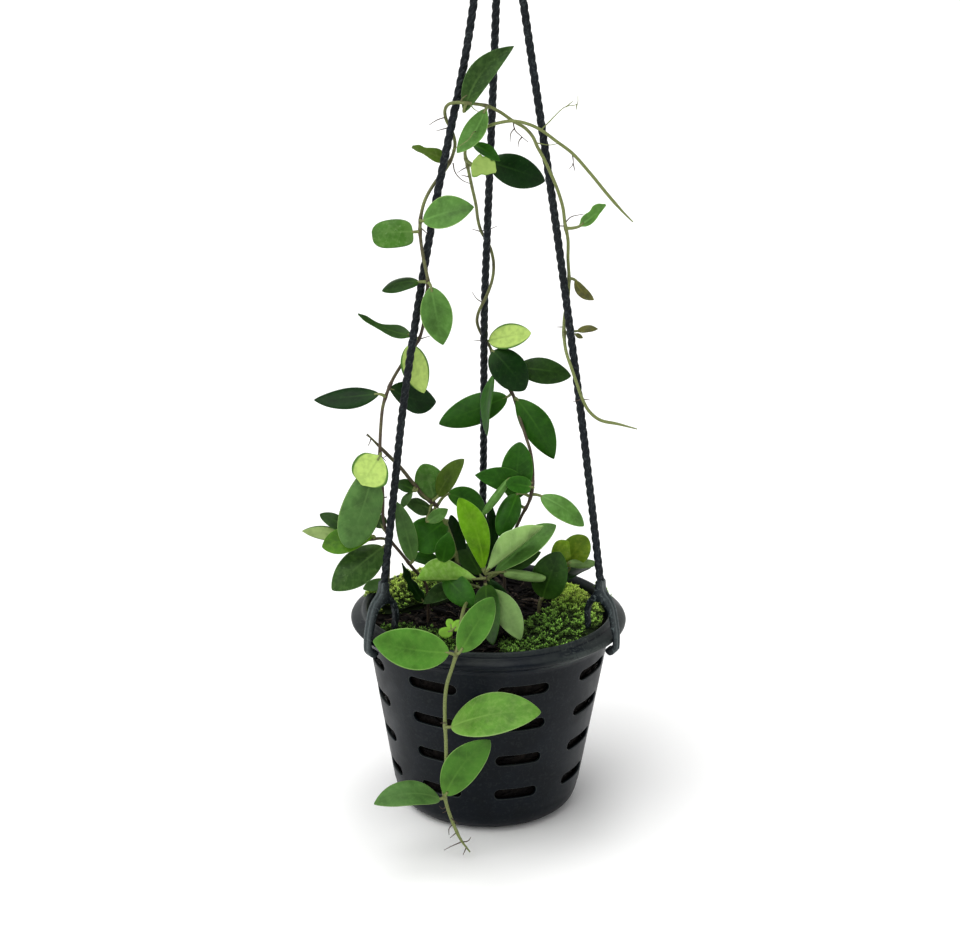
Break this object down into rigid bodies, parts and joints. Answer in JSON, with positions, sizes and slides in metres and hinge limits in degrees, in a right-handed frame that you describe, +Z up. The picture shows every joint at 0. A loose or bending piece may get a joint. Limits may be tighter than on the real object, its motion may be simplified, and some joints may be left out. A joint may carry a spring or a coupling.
{
  "type": "potted hoya plant",
  "caption": "Trailing plant with thick opposite leaves in a slotted hanging pot, with moss on its medium and a hanger of twisted legs that clip on the rim and meet in a hook.",
  "frame": {"origin": "the highest point inside the hook's bend, where it rests on a rail, on the pot's axis", "axes": "+Z up, opposite to gravity when it hangs. -Y towards the front, where the trailing stem hangs over the rim. +X to the right as seen from the front"},
  "size_m": [0.1754, 0.1783, 0.5473],
  "materials": {
    "pot": "satin, lightly scuffed and dusty",
    "hanger": "satin",
    "medium": "rough bark chips and fibre",
    "moss": "soft tufts",
    "plant": "waxy satin",
    "seedling": "soft satin"
  },
  "bodies": {
    "root": {"pot": "pot", "growing_medium": "medium", "moss_right": "moss", "moss_front_left": "moss", "moss_back_left": "moss", "clip_left": "hanger", "clip_right": "hanger", "clip_back": "hanger", "leg_left": "hanger", "leg_right": "hanger", "leg_back": "hanger", "hook": "hanger", "vine_left": "plant", "vine_middle": "plant", "stem_trailing": "plant", "shoot_middle": "plant", "shoot_left": "plant", "shoot_right": "plant", "seedling": "seedling"}
  },
  "joints": []
}
